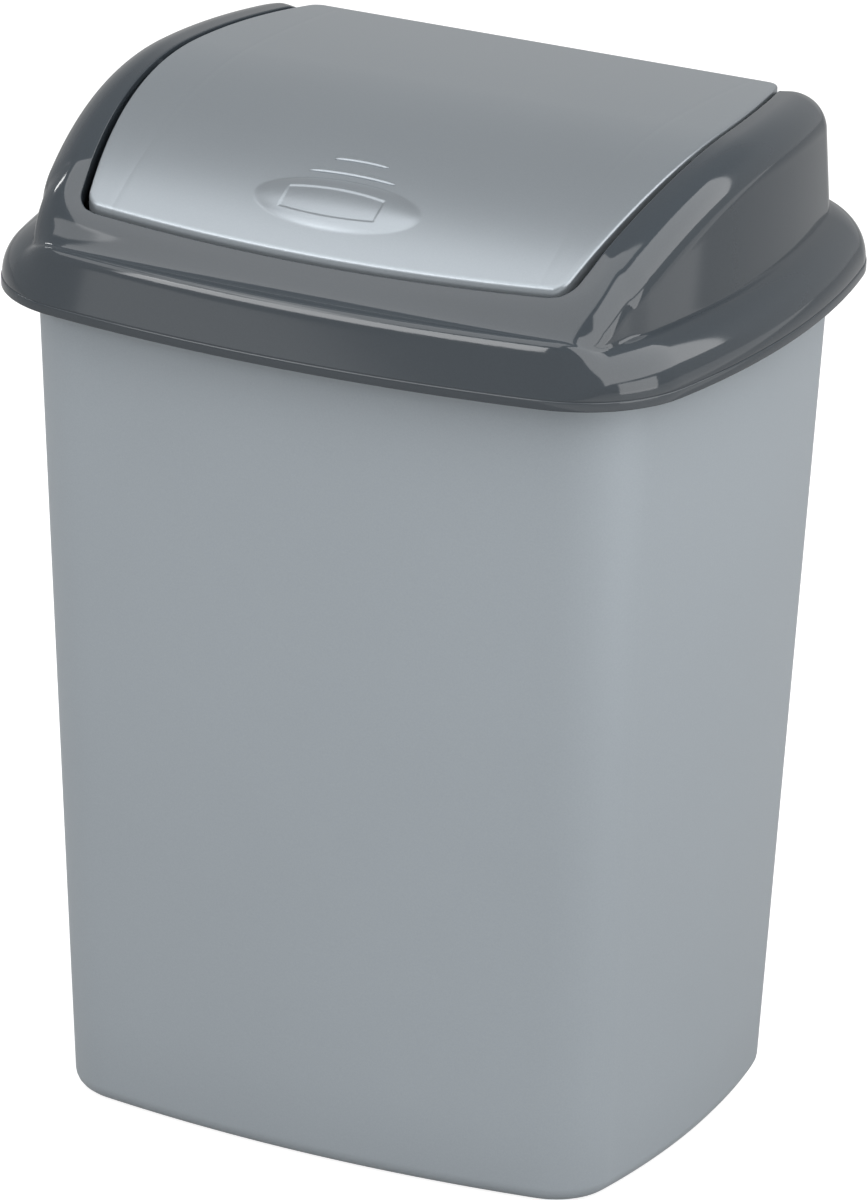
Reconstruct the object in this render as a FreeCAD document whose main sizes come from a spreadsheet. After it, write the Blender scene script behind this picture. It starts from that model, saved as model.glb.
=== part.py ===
import FreeCAD, Part
import Sketcher
import math
import os
from FreeCAD import Vector

doc = FreeCAD.newDocument("swing_lid_bin")

# Driving dimensions of the bin, in millimetres and degrees.
SIZES = {
    "hood_half_width": 169.0,
    "hood_half_depth": 142.5,
    "front_bow_radius": 675.0,
    "side_bow_radius": 433.0,
    "hood_corner_radius": 55.0,
    "lip_cover": 16.0,
    "lip_height": 4.2,
    "lip_ledge": 0.4,
    "lip_ledge_rise": 0.6,
    "hood_wall": 2.0,
    "flange_round": 21.0,
    "dome_inset": 16.7,
    "dome_draft_degrees": 4.0,
    "shoulder_radius": 16.0,
    "rear_shoulder_radius": 20.0,
    "front_wall_inset": 8.0,
    "front_sill_drop": 1.2,
    "rear_sill_drop": 3.0,
    "front_blend": 7.0,
    "side_blend": 0.05,
    "collar_inset": 13.5,
    "collar_width": 2.4,
    "collar_lean_degrees": 30.0,
    "skin_overlap": 8.0,
    "skin_overlap_round": 25.0,
    "crown_y": 13.0,
    "crown_rise": 64.8,
    "arch_front_drop": 40.52,
    "arch_rear_drop": 4.74,
    "flap_side_inset": 43.0,
    "flap_front_inset": 31.5,
    "flap_rear_inset": 42.5,
    "flap_side_radius": 400.0,
    "flap_side_centre_y": -5.0,
    "flap_front_radius": 1300.0,
    "flap_corner_radius": 5.0,
    "flap_wall": 2.0,
    "flap_hem": 5.5,
    "flap_edge_round": 1.2,
    "flap_gap": 2.4,
    "flap_rib_inset": 26.0,
    "flap_rib_width": 1.6,
    "flap_rib_depth": 7.0,
    "rib_front_inset": 16.0,
    "rib_rear_inset": 12.0,
    "push_centre_x": -3.0,
    "push_inset": 23.5,
    "push_length_radius": 42.2,
    "push_height_radius": 15.0,
    "push_depth_radius": 4.6,
    "push_sink": 2.0,
    "return_depth": 8.0,
    "return_wall": 1.8,
    "return_side_cover": 1.6,
    "return_sill_cover": 4.0,
    "return_front_run": 10.0,
    "return_rear_run": 6.0,
    "pivot_lead": 2.28,
    "pivot_drop": 7.6,
    "pin_radius": 3.5,
    "pin_clearance": 0.1,
    "pin_root": 1.0,
    "ear_radius": 8.0,
    "ear_thickness": 3.0,
    "ear_top_drop": 3.2,
    "ear_inset": 0.2,
    "rim_top": 389.0,
    "rim_inset": 9.5,
    "rim_thickness": 2.2,
    "rim_hem_depth": 12.0,
    "rim_edge_round": 1.0,
    "tub_wall": 2.0,
    "mouth_side_inset": 15.2,
    "mouth_front_inset": 18.7,
    "mouth_corner_radius": 36.0,
    "foot_side_inset": 33.3,
    "foot_front_inset": 36.9,
    "foot_corner_radius": 29.0,
    "foot_edge_round": 7.5,
    "tub_floor": 3.2,
    "floor_round": 5.0,
    "foot_ring": 15.0,
    "foot_recess": 1.2,
    "cut_overrun": 20.0,
    "edge_overrun": 6.0,
}

# Sizes that follow from the driving ones.
FOLLOWING = {
    "lip_bottom": "rim_top - lip_cover",
    "crown_z": "rim_top + crown_rise",
    "mouth_half_width": "hood_half_width - mouth_side_inset",
    "mouth_half_depth": "hood_half_depth - mouth_front_inset",
    "foot_half_width": "hood_half_width - foot_side_inset",
    "foot_half_depth": "hood_half_depth - foot_front_inset",
    "flap_half_width": "hood_half_width - flap_side_inset",
    "flap_front_y": "flap_front_inset - hood_half_depth",
    "flap_rear_y": "hood_half_depth - flap_rear_inset",
    "flap_rib_x": "flap_half_width - flap_rib_inset",
    "rib_front_y": "flap_front_y + rib_front_inset",
    "rib_rear_y": "flap_rear_y - rib_rear_inset",
    "push_centre_y": "flap_front_y + push_inset",
    "return_front_y": "flap_front_y + return_front_run",
    "return_rear_y": "flap_rear_y - return_rear_run",
    "pivot_y": "(flap_front_y + flap_rear_y) / 2 - pivot_lead",
    "pivot_z": "crown_z - pivot_drop",
    "arch_front_reach": "crown_y - flap_front_y",
    "arch_rear_reach": "flap_rear_y - crown_y",
    "arch_front_radius": "(arch_front_reach ^ 2 + arch_front_drop ^ 2) / (2 * arch_front_drop)",
    "arch_rear_radius": "(arch_rear_reach ^ 2 + arch_rear_drop ^ 2) / (2 * arch_rear_drop)",
}

sheet = doc.addObject("Spreadsheet::Sheet", "sizes")
cells = {alias: str(value) for alias, value in SIZES.items()}
cells.update({alias: f"={formula}" for alias, formula in FOLLOWING.items()})
for row, (alias, cell) in enumerate(cells.items(), start=1):
    sheet.set(f"A{row}", alias)
    sheet.setAlias(f"B{row}", alias)
    sheet.set(f"B{row}", cell)
doc.recompute()


def size(alias):
    """The number that the sheet holds under an alias."""
    return float(sheet.get(alias))


def origin_plane(body, role):
    """One of a body's own origin planes, found by its role."""
    for feature in body.Origin.OriginFeatures:
        if feature.Role == role:
            return feature
    raise ValueError(role)


def bowed_corner(half_width, half_depth, front_radius, side_radius, corner_radius):
    """Centre of the front right corner arc, tangent inside the bowed front and the bowed side."""
    front = Vector(0, front_radius - half_depth, 0)
    side = Vector(half_width - side_radius, 0, 0)
    reach_front = front_radius - corner_radius
    reach_side = side_radius - corner_radius
    span = side.sub(front).Length
    along = side.sub(front).multiply(1 / span)
    foot = (reach_front**2 - reach_side**2 + span**2) / (2 * span)
    rise = math.sqrt(reach_front**2 - foot**2)
    across = Vector(along.y, -along.x, 0)
    middle = front.add(along * foot)
    return max(middle.add(across * rise), middle.sub(across * rise), key=lambda p: p.x - p.y)


def bowed_arcs(half_width, half_depth, front_radius, side_radius, corner_radius):
    """The eight arcs of a bowed rectangle as (centre, radius, first angle, last angle), anticlockwise."""
    corner = bowed_corner(half_width, half_depth, front_radius, side_radius, corner_radius)
    front = Vector(0, front_radius - half_depth, 0)
    side = Vector(half_width - side_radius, 0, 0)
    front_end = math.atan2(corner.y - front.y, corner.x - front.x)
    side_start = math.atan2(corner.y - side.y, corner.x - side.x)
    flat = math.pi
    return [
        (front, front_radius, -flat - front_end, front_end),
        (corner, corner_radius, front_end, side_start),
        (side, side_radius, side_start, -side_start),
        (Vector(corner.x, -corner.y, 0), corner_radius, -side_start, -front_end),
        (front * -1, front_radius, -front_end, flat + front_end),
        (Vector(-corner.x, -corner.y, 0), corner_radius, flat + front_end, flat + side_start),
        (side * -1, side_radius, flat + side_start, flat - side_start),
        (Vector(-corner.x, corner.y, 0), corner_radius, flat - side_start, flat - front_end),
    ]


def add_bowed_outline(sketch, name, numbers, formulas):
    """Draws a bowed rectangle in a sketch and binds its sizes to formulas of the sheet."""
    arcs = bowed_arcs(*numbers)
    first = sketch.GeometryCount
    for centre, radius, begin, end in arcs:
        circle = Part.Circle(centre, Vector(0, 0, 1), radius)
        sketch.addGeometry(Part.ArcOfCircle(circle, begin, end), False)
    for step in range(len(arcs)):
        following = first + (step + 1) % len(arcs)
        sketch.addConstraint(Sketcher.Constraint("Tangent", first + step, 2, following, 1))
    to_front = f"({formulas[2]}) - ({formulas[1]})"
    to_side = f"({formulas[3]}) - ({formulas[0]})"
    front_centre = numbers[2] - numbers[1]
    side_centre = numbers[3] - numbers[0]
    front, right, back, left = range(first, first + len(arcs), 2)
    bound = []
    for arc, ends in ((front, (-1, 1, front, 3)), (back, (back, 3, -1, 1))):
        sketch.addConstraint(Sketcher.Constraint("PointOnObject", arc, 3, -2))
        bound.append((Sketcher.Constraint("DistanceY", *ends, front_centre), "front_centre", to_front))
        bound.append((Sketcher.Constraint("Radius", arc, numbers[2]), "front_radius", formulas[2]))
    for arc, ends in ((right, (right, 3, -1, 1)), (left, (-1, 1, left, 3))):
        sketch.addConstraint(Sketcher.Constraint("PointOnObject", arc, 3, -1))
        bound.append((Sketcher.Constraint("DistanceX", *ends, side_centre), "side_centre", to_side))
        bound.append((Sketcher.Constraint("Radius", arc, numbers[3]), "side_radius", formulas[3]))
    for corner in range(first + 1, first + len(arcs), 2):
        bound.append((Sketcher.Constraint("Radius", corner, numbers[4]), "corner_radius", formulas[4]))
    for count, (constraint, word, formula) in enumerate(bound):
        index = sketch.addConstraint(constraint)
        label = f"{name}_{word}_{count}"
        sketch.renameConstraint(index, label)
        sketch.setExpression(f"Constraints.{label}", formula)


def inset_outline(base, inset):
    """Numbers and formulas of a named outline drawn in by a formula of the sheet."""
    aliases = OUTLINES[base]
    drawn_in = doc_value(inset)
    numbers = [size(alias) - drawn_in for alias in aliases]
    formulas = [f"sizes.{alias} - ({inset})" for alias in aliases]
    return numbers, formulas


def doc_value(formula):
    """The number that a formula of the sheet comes to."""
    return float(sheet.evalExpression(formula.replace("sizes.", "")))


OUTLINES = {
    "hood": (
        "hood_half_width", "hood_half_depth", "front_bow_radius", "side_bow_radius", "hood_corner_radius",
    ),
    "mouth": (
        "mouth_half_width", "mouth_half_depth", "front_bow_radius", "side_bow_radius", "mouth_corner_radius",
    ),
    "foot": (
        "foot_half_width", "foot_half_depth", "front_bow_radius", "side_bow_radius", "foot_corner_radius",
    ),
}


def outline_sketch(body, name, height, outlines):
    """A level sketch at a height formula, holding one or more (base outline, inset formula) outlines."""
    sketch = body.newObject("Sketcher::SketchObject", name)
    sketch.AttachmentSupport = [(origin_plane(body, "XY_Plane"), "")]
    sketch.MapMode = "FlatFace"
    sketch.setExpression("AttachmentOffset.Base.z", height)
    for count, (base, inset) in enumerate(outlines):
        numbers, formulas = inset_outline(base, inset)
        add_bowed_outline(sketch, f"ring{count}", numbers, formulas)
    return sketch


def loft(body, kind, name, first, last):
    """A straight-sided loft between two level sketches."""
    feature = body.newObject(kind, name)
    feature.Profile = first
    feature.Sections = [last]
    feature.Ruled = True
    return feature


def pad(body, name, sketch, length, reverse=False):
    """A pad of a sketch by a formula of the sheet."""
    feature = body.newObject("PartDesign::Pad", name)
    feature.Profile = sketch
    feature.setExpression("Length", length)
    feature.Reversed = reverse
    return feature


NEAR_SHARE = 0.01


def fillet(body, name, base, wanted, radius):
    """A fillet of the base feature's edges that pass a test, with a radius from the sheet."""
    doc.recompute()
    names = [f"Edge{i}" for i, edge in enumerate(base.Shape.Edges, start=1) if wanted(edge)]
    feature = body.newObject("PartDesign::Fillet", name)
    feature.Base = (base, names)
    feature.setExpression("Radius", radius)
    return feature


def level_edge(height):
    """A test for edges that lie level at a height."""
    near = size("rim_edge_round") * NEAR_SHARE

    def wanted(edge):
        box = edge.BoundBox
        return abs(box.ZMin - height) < near and abs(box.ZMax - height) < near

    return wanted


# The tub: a drafted shell with a raised floor and a turned-down rim.
tub = doc.addObject("PartDesign::Body", "bin_body")
tub.Label = "bin_body"
foot = outline_sketch(tub, "foot_outline", "0 mm", [("foot", "0")])
mouth = outline_sketch(tub, "mouth_outline", "sizes.rim_top * 1 mm", [("mouth", "0")])
shell = loft(tub, "PartDesign::AdditiveLoft", "tub_form", mouth, foot)
rounded_foot = fillet(tub, "foot_round", shell, level_edge(0), "sizes.foot_edge_round")
rim_outline = outline_sketch(tub, "rim_outline", "sizes.rim_top * 1 mm", [("hood", "sizes.rim_inset")])
rim = pad(tub, "rim_plate", rim_outline, "sizes.rim_thickness", True)
hem_outline = outline_sketch(
    tub, "rim_hem_outline", "sizes.rim_top * 1 mm",
    [("hood", "sizes.rim_inset"), ("hood", "sizes.rim_inset + sizes.tub_wall")],
)
hem = pad(tub, "rim_hem", hem_outline, "sizes.rim_hem_depth", True)
rounded_rim = fillet(tub, "rim_round", hem, level_edge(size("rim_top")), "sizes.rim_edge_round")
inner_foot = outline_sketch(
    tub, "inner_foot_outline", "sizes.tub_floor * 1 mm", [("foot", "sizes.tub_wall")],
)
inner_mouth = outline_sketch(
    tub, "inner_mouth_outline", "sizes.rim_top * 1 mm", [("mouth", "sizes.tub_wall")],
)
hollow = loft(tub, "PartDesign::SubtractiveLoft", "tub_hollow", inner_mouth, inner_foot)
rounded_floor = fillet(tub, "floor_round_inside", hollow, level_edge(size("tub_floor")), "sizes.floor_round")
recess_outline = outline_sketch(tub, "foot_recess_outline", "0 mm", [("foot", "sizes.foot_ring")])
recess = tub.newObject("PartDesign::Pocket", "foot_recess")
recess.Profile = recess_outline
recess.setExpression("Length", "sizes.foot_recess")
recess.Reversed = True


def arch_height(y, drop=0):
    """Height of the arched top over a depth position, lowered square to the arch by a drop."""
    radius = size("arch_front_radius") if y < size("crown_y") else size("arch_rear_radius")
    centre = size("crown_z") - radius
    return centre + math.sqrt((radius - drop) ** 2 - (y - size("crown_y")) ** 2)


def arch_sketch(body, name, drop, first_y, last_y, level):
    """A sketch across the depth: the arch lowered by a drop, closed by a box up or down to a level.

    The drop, the two ends and the level are formulas of the sheet. Arcs on either side of the crown
    share the crown point, and an end short of the crown leaves its arc out.
    """
    sketch = body.newObject("Sketcher::SketchObject", name)
    sketch.AttachmentSupport = [(origin_plane(body, "YZ_Plane"), "")]
    sketch.MapMode = "FlatFace"
    low, high, lowered = doc_value(first_y), doc_value(last_y), doc_value(drop)
    crown = doc_value("sizes.crown_y")
    top = doc_value(level)
    arcs = []
    if low < crown:
        arcs.append(("arch_front_radius", low, min(high, crown)))
    if high > crown:
        arcs.append(("arch_rear_radius", max(low, crown), high))
    bound = []
    for alias, begin, end in arcs:
        radius = size(alias) - lowered
        centre = Vector(crown, size("crown_z") - size(alias), 0)
        angles = [math.acos((y - crown) / radius) for y in (end, begin)]
        circle = Part.Circle(centre, Vector(0, 0, 1), radius)
        arc = sketch.addGeometry(Part.ArcOfCircle(circle, *angles), False)
        bound.append((("Radius", arc, radius), f"sizes.{alias} - ({drop})"))
        if arc == 0:
            bound.append((("DistanceX", -1, 1, arc, 3, crown), "sizes.crown_y"))
            bound.append((("DistanceY", -1, 1, arc, 3, centre.y), f"sizes.crown_z - sizes.{alias}"))
    left = Vector(low, arch_height(low, lowered), 0)
    right = Vector(high, arch_height(high, lowered), 0)
    box = [right, Vector(high, top, 0), Vector(low, top, 0), left]
    sides = [sketch.addGeometry(Part.LineSegment(*ends), False) for ends in zip(box, box[1:])]
    joints = [(sides[0], 2, sides[1], 1), (sides[1], 2, sides[2], 1)]
    joints += [(len(arcs) - 1, 1, sides[0], 1), (sides[2], 2, 0, 2)]
    if len(arcs) == 2:
        sketch.addConstraint(Sketcher.Constraint("Tangent", 0, 1, 1, 2))
        bound.append((("DistanceX", -1, 1, 0, 1, crown), "sizes.crown_y"))
    for joint in joints:
        sketch.addConstraint(Sketcher.Constraint("Coincident", *joint))
    for word, side in (("Vertical", sides[0]), ("Horizontal", sides[1]), ("Vertical", sides[2])):
        sketch.addConstraint(Sketcher.Constraint(word, side))
    bound.append((("DistanceX", -1, 1, sides[0], 1, high), last_y))
    bound.append((("DistanceX", -1, 1, sides[2], 1, low), first_y))
    bound.append((("DistanceY", -1, 1, sides[1], 1, top), level))
    for count, (constraint, formula) in enumerate(bound):
        index = sketch.addConstraint(Sketcher.Constraint(*constraint))
        sketch.renameConstraint(index, f"arch_{count}")
        sketch.setExpression(f"Constraints.arch_{count}", formula)
    return sketch


def pocket_through(body, name, sketch):
    """A pocket of a sketch right through the body, both ways."""
    feature = body.newObject("PartDesign::Pocket", name)
    feature.Profile = sketch
    feature.Type = "ThroughAll"
    feature.Midplane = True
    return feature


ABOVE = "sizes.crown_z + sizes.cut_overrun"
BELOW = "sizes.lip_bottom - sizes.cut_overrun"
FRONT = "sizes.flap_front_y - sizes.flap_gap - sizes.return_wall - sizes.edge_overrun"
BACK = "sizes.flap_rear_y + sizes.flap_gap + sizes.return_wall + sizes.edge_overrun"


def flap_outline_sketch(body, name, height, offsets):
    """A level sketch of the flap's barrel-shaped outline, once for each outward offset formula."""
    sketch = body.newObject("Sketcher::SketchObject", name)
    sketch.AttachmentSupport = [(origin_plane(body, "XY_Plane"), "")]
    sketch.MapMode = "FlatFace"
    sketch.setExpression("AttachmentOffset.Base.z", height)
    for ring, offset in enumerate(offsets):
        add_flap_outline(sketch, f"ring{ring}", offset)
    return sketch


def add_flap_outline(sketch, name, offset):
    """Draws the flap's outline: bowed front and sides, straight rear, and four round corners."""
    grown = doc_value(offset)
    corner = size("flap_corner_radius") + grown
    front_radius = size("flap_front_radius") + grown
    side_radius = size("flap_side_radius") + grown
    rear = size("flap_rear_y") + grown
    front = Vector(0, size("flap_front_y") + size("flap_front_radius"), 0)
    side = Vector(size("flap_half_width") - size("flap_side_radius"), size("flap_side_centre_y"), 0)
    span = side.sub(front).Length
    along = side.sub(front).multiply(1 / span)
    reach_front = front_radius - corner
    reach_side = side_radius - corner
    foot = (reach_front**2 - reach_side**2 + span**2) / (2 * span)
    rise = math.sqrt(reach_front**2 - foot**2)
    across = Vector(along.y, -along.x, 0)
    ends = [front.add(along * foot).add(across * (rise * way)) for way in (1, -1)]
    front_corner = max(ends, key=lambda p: p.x - p.y)
    rear_corner_y = rear - corner
    rear_corner = Vector(side.x + math.sqrt(reach_side**2 - (rear_corner_y - side.y) ** 2), rear_corner_y, 0)
    half = math.pi
    front_turn = math.atan2(front_corner.y - front.y, front_corner.x - front.x)
    side_low = math.atan2(front_corner.y - side.y, front_corner.x - side.x)
    side_high = math.atan2(rear_corner.y - side.y, rear_corner.x - side.x)

    def mirrored(centre):
        return Vector(-centre.x, centre.y, 0)

    arcs = [
        (front, front_radius, -half - front_turn, front_turn),
        (front_corner, corner, front_turn, side_low),
        (side, side_radius, side_low, side_high),
        (rear_corner, corner, side_high, half / 2),
        None,
        (mirrored(rear_corner), corner, half / 2, half - side_high),
        (mirrored(side), side_radius, half - side_high, half - side_low),
        (mirrored(front_corner), corner, half - side_low, half - front_turn),
    ]
    first = sketch.GeometryCount
    for arc in arcs:
        if arc is None:
            right = Vector(rear_corner.x, rear, 0)
            sketch.addGeometry(Part.LineSegment(right, mirrored(right)), False)
        else:
            circle = Part.Circle(arc[0], Vector(0, 0, 1), arc[1])
            sketch.addGeometry(Part.ArcOfCircle(circle, arc[2], arc[3]), False)
    for step in range(len(arcs)):
        following = first + (step + 1) % len(arcs)
        sketch.addConstraint(Sketcher.Constraint("Tangent", first + step, 2, following, 1))
    sketch.addConstraint(Sketcher.Constraint("PointOnObject", first, 3, -2))
    sketch.addConstraint(Sketcher.Constraint("Horizontal", first + 4))
    right, left = first + 2, first + 6
    inward = "sizes.flap_side_radius - sizes.flap_half_width"
    bound = [
        (("DistanceY", -1, 1, first, 3, front.y), "sizes.flap_front_y + sizes.flap_front_radius"),
        (("Radius", first, front_radius), f"sizes.flap_front_radius + ({offset})"),
        (("DistanceX", right, 3, -1, 1, -side.x), inward),
        (("DistanceX", -1, 1, left, 3, -side.x), inward),
        (("DistanceY", -1, 1, first + 4, 1, rear), f"sizes.flap_rear_y + ({offset})"),
    ]
    for arc in (right, left):
        bound.append((("DistanceY", -1, 1, arc, 3, side.y), "sizes.flap_side_centre_y"))
        bound.append((("Radius", arc, side_radius), f"sizes.flap_side_radius + ({offset})"))
    for place in range(first + 1, first + len(arcs), 2):
        bound.append((("Radius", place, corner), f"sizes.flap_corner_radius + ({offset})"))
    for count, (constraint, formula) in enumerate(bound):
        index = sketch.addConstraint(Sketcher.Constraint(*constraint))
        sketch.renameConstraint(index, f"{name}_{count}")
        sketch.setExpression(f"Constraints.{name}_{count}", formula)


# The swing flap: an arched plate with a hem, two ribs, a raised push pad and two pivot pins.
flap = doc.addObject("PartDesign::Body", "swing_flap")
flap.Label = "swing_flap"
flap_outline = flap_outline_sketch(flap, "flap_outline", BELOW, ["0"])
flap_block = pad(flap, "flap_block", flap_outline, f"({ABOVE}) - ({BELOW})")
flap_top = pocket_through(flap, "flap_top", arch_sketch(flap, "flap_top_arch", "0", FRONT, BACK, ABOVE))
flap_under = pocket_through(
    flap, "flap_under", arch_sketch(flap, "flap_under_arch", "sizes.flap_hem", FRONT, BACK, BELOW),
)
doc.recompute()


def under_face(face):
    """A test for the faces under the flap's block."""
    return face.normalAt(*face.Surface.parameter(face.CenterOfMass)).z < -math.sqrt(2) / 2


flap_shell = flap.newObject("PartDesign::Thickness", "flap_shell")
open_faces = [f"Face{i}" for i, f in enumerate(flap_under.Shape.Faces, start=1) if under_face(f)]
flap_shell.Base = (flap_under, open_faces)
flap_shell.setExpression("Value", "sizes.flap_wall")
flap_shell.Reversed = True
flap_shell.Join = 0
doc.recompute()


def top_rim_edge(edge):
    """A test for the edges round the flap's top face, without the line along its crown."""
    middle = edge.valueAt((edge.FirstParameter + edge.LastParameter) / 2)
    near = size("flap_edge_round") * NEAR_SHARE
    on_top = abs(middle.z - arch_height(middle.y)) < near
    return on_top and abs(middle.y - size("crown_y")) > near


rounded_flap = fillet(flap, "flap_edge", flap_shell, top_rim_edge, "sizes.flap_edge_round")


def push_placement(height):
    """A frame on the flap's face at the push pad, lifted square to the face by a height."""
    lean = math.asin((size("crown_y") - size("push_centre_y")) / size("arch_front_radius"))
    outward = Vector(0, -math.sin(lean), math.cos(lean))
    centre = Vector(size("push_centre_x"), size("push_centre_y"), arch_height(size("push_centre_y")))
    turn = FreeCAD.Rotation(Vector(1, 0, 0), math.degrees(lean))
    return FreeCAD.Placement(centre.add(outward * height), turn)


def push_ellipsoid(kind, name, height):
    """An ellipsoid laid along the flap's face at the push pad, with radii from the sheet."""
    feature = flap.newObject(kind, name)
    feature.AttachmentSupport = [(origin_plane(flap, "XY_Plane"), "")]
    feature.MapMode = "FlatFace"
    feature.AttachmentOffset = push_placement(height)
    feature.setExpression("Radius1", "sizes.push_depth_radius")
    feature.setExpression("Radius2", "sizes.push_length_radius")
    feature.setExpression("Radius3", "sizes.push_height_radius")
    return feature


push_ellipsoid("PartDesign::AdditiveEllipsoid", "push_pad", -size("push_sink"))
push_ellipsoid("PartDesign::SubtractiveEllipsoid", "push_hollow", -size("push_sink") - size("flap_wall"))


def side_sketch(body, name, place):
    """A sketch across the depth, moved sideways to a place formula."""
    sketch = body.newObject("Sketcher::SketchObject", name)
    sketch.AttachmentSupport = [(origin_plane(body, "YZ_Plane"), "")]
    sketch.MapMode = "FlatFace"
    sketch.setExpression("AttachmentOffset.Base.z", f"({place}) * 1 mm")
    return sketch


def round_sketch(body, name, place, radius):
    """A circle round the pivot line, at a place along it."""
    sketch = side_sketch(body, name, place)
    centre = Vector(size("pivot_y"), size("pivot_z"), 0)
    sketch.addGeometry(Part.Circle(centre, Vector(0, 0, 1), doc_value(radius)), False)
    bound = [
        (("Radius", 0, doc_value(radius)), radius),
        (("DistanceX", 0, 3, -1, 1, -centre.x), "-sizes.pivot_y"),
        (("DistanceY", -1, 1, 0, 3, centre.y), "sizes.pivot_z"),
    ]
    for count, (constraint, formula) in enumerate(bound):
        index = sketch.addConstraint(Sketcher.Constraint(*constraint))
        sketch.renameConstraint(index, f"round_{count}")
        sketch.setExpression(f"Constraints.round_{count}", formula)
    return sketch


def ear_sketch(body, name, place):
    """A pivot ear: round below the pivot line, straight sides, and a level top inside the arched skin."""
    sketch = side_sketch(body, name, place)
    radius, top = size("ear_radius"), size("crown_z") - size("ear_top_drop")
    centre = Vector(size("pivot_y"), size("pivot_z"), 0)
    left, right = centre.x - radius, centre.x + radius
    circle = Part.Circle(centre, Vector(0, 0, 1), radius)
    sketch.addGeometry(Part.ArcOfCircle(circle, -math.pi, 0), False)
    sides = ((right, centre.y), (right, top), (left, top), (left, centre.y))
    corners = [Vector(y, z, 0) for y, z in sides]
    for ends in zip(corners, corners[1:]):
        sketch.addGeometry(Part.LineSegment(*ends), False)
    for joint in ((0, 2, 1, 1), (3, 2, 0, 1)):
        sketch.addConstraint(Sketcher.Constraint("Tangent", *joint))
    for joint in ((1, 2, 2, 1), (2, 2, 3, 1)):
        sketch.addConstraint(Sketcher.Constraint("Coincident", *joint))
    sketch.addConstraint(Sketcher.Constraint("Vertical", 1))
    sketch.addConstraint(Sketcher.Constraint("Horizontal", 2))
    sketch.addConstraint(Sketcher.Constraint("Vertical", 3))
    bound = [
        (("Radius", 0, radius), "sizes.ear_radius"),
        (("DistanceX", 0, 3, -1, 1, -centre.x), "-sizes.pivot_y"),
        (("DistanceY", -1, 1, 0, 3, centre.y), "sizes.pivot_z"),
        (("DistanceY", -1, 1, 2, 1, top), "sizes.crown_z - sizes.ear_top_drop"),
    ]
    for count, (constraint, formula) in enumerate(bound):
        index = sketch.addConstraint(Sketcher.Constraint(*constraint))
        sketch.renameConstraint(index, f"ear_{count}")
        sketch.setExpression(f"Constraints.ear_{count}", formula)
    return sketch


SIDES = (("right", 1), ("left", -1))
FLAP_EAR = "sizes.flap_half_width - sizes.ear_inset"
HOOD_EAR = "sizes.flap_half_width + sizes.flap_gap + sizes.ear_inset"
for word, way in SIDES:
    rib_sketch = arch_sketch(
        flap, f"{word}_rib_outline", "sizes.flap_wall / 2", "sizes.rib_front_y", "sizes.rib_rear_y", BELOW,
    )
    rib_sketch.setExpression("AttachmentOffset.Base.z", f"({way} * sizes.flap_rib_x) * 1 mm")
    pad(flap, f"{word}_rib", rib_sketch, "sizes.flap_rib_width")
pocket_through(
    flap, "rib_trim", arch_sketch(flap, "rib_trim_arch", "sizes.flap_rib_depth", FRONT, BACK, BELOW),
)
for word, way in SIDES:
    ear_outline = ear_sketch(flap, f"{word}_flap_ear_outline", f"{way} * ({FLAP_EAR})")
    pad(flap, f"{word}_flap_ear", ear_outline, "sizes.ear_thickness", way > 0)
    pin_outline = round_sketch(
        flap, f"{word}_pin_outline", f"{way} * ({FLAP_EAR} - sizes.pin_root)", "sizes.pin_radius",
    )
    pin_length = "sizes.pin_root + 2 * sizes.ear_inset + sizes.flap_gap + sizes.ear_thickness"
    pad(flap, f"{word}_pin", pin_outline, pin_length, way < 0)

# The hood's inner walls: a return round the flap opening, with an ear and a bore on each side.
opening = doc.addObject("PartDesign::Body", "flap_opening")
opening_outline = flap_outline_sketch(opening, "opening_outline", BELOW, ["sizes.flap_gap"])
pad(opening, "opening_block", opening_outline, f"({ABOVE}) - ({BELOW})")
returns = doc.addObject("PartDesign::Body", "hood_return")
return_outline = flap_outline_sketch(
    returns, "return_outline", BELOW, ["sizes.flap_gap", "sizes.flap_gap + sizes.return_wall"],
)
pad(returns, "return_ring", return_outline, f"({ABOVE}) - ({BELOW})")
RETURN_CUTS = (
    ("return_top", "sizes.return_side_cover", FRONT, BACK, ABOVE),
    ("return_under", "sizes.return_depth", FRONT, BACK, BELOW),
    ("return_front", "sizes.return_sill_cover", FRONT, "sizes.return_front_y", ABOVE),
    ("return_rear", "sizes.return_sill_cover", "sizes.return_rear_y", BACK, ABOVE),
)
for name, drop, first_y, last_y, level in RETURN_CUTS:
    pocket_through(returns, name, arch_sketch(returns, f"{name}_arch", drop, first_y, last_y, level))
for word, way in SIDES:
    ear_outline = ear_sketch(returns, f"{word}_hood_ear_outline", f"{way} * ({HOOD_EAR})")
    pad(returns, f"{word}_hood_ear", ear_outline, "sizes.ear_thickness", way < 0)
bore_outline = round_sketch(returns, "bore_outline", "0", "sizes.pin_radius + sizes.pin_clearance")
pocket_through(returns, "pivot_bores", bore_outline)

# The hood's skin: one closed section carried round the bowed outline, changing from cheek to front sill.
FRONT_STEPS = 6
CORNER_STEPS = 8
SIDE_STEPS = 4
DOME_STEPS = 14
FLANGE_STEPS = 7
FINE_STEPS = 240
HALVINGS = 40
FRONT_TURN_SHARES = (0.45, 0.98)
REAR_TURN_SHARES = (0.5, 0.98)
BLEND_TURN_SHARES = (0.25, 0.95)


def smooth_step(limits, value):
    """A share that rises smoothly from 0 to 1 between two limits."""
    low, high = limits
    share = min(max((value - low) / (high - low), 0), 1)
    return share * share * (3 - 2 * share)


def mixed(first, last, share):
    """A value part of the way from a first one to a last one."""
    return first + (last - first) * share


def smooth_max(first, last, blend):
    """The higher of two heights, rounded over where they are closer than the blend."""
    return max(first, last) + max(blend - abs(first - last), 0) ** 2 / (4 * blend)


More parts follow.
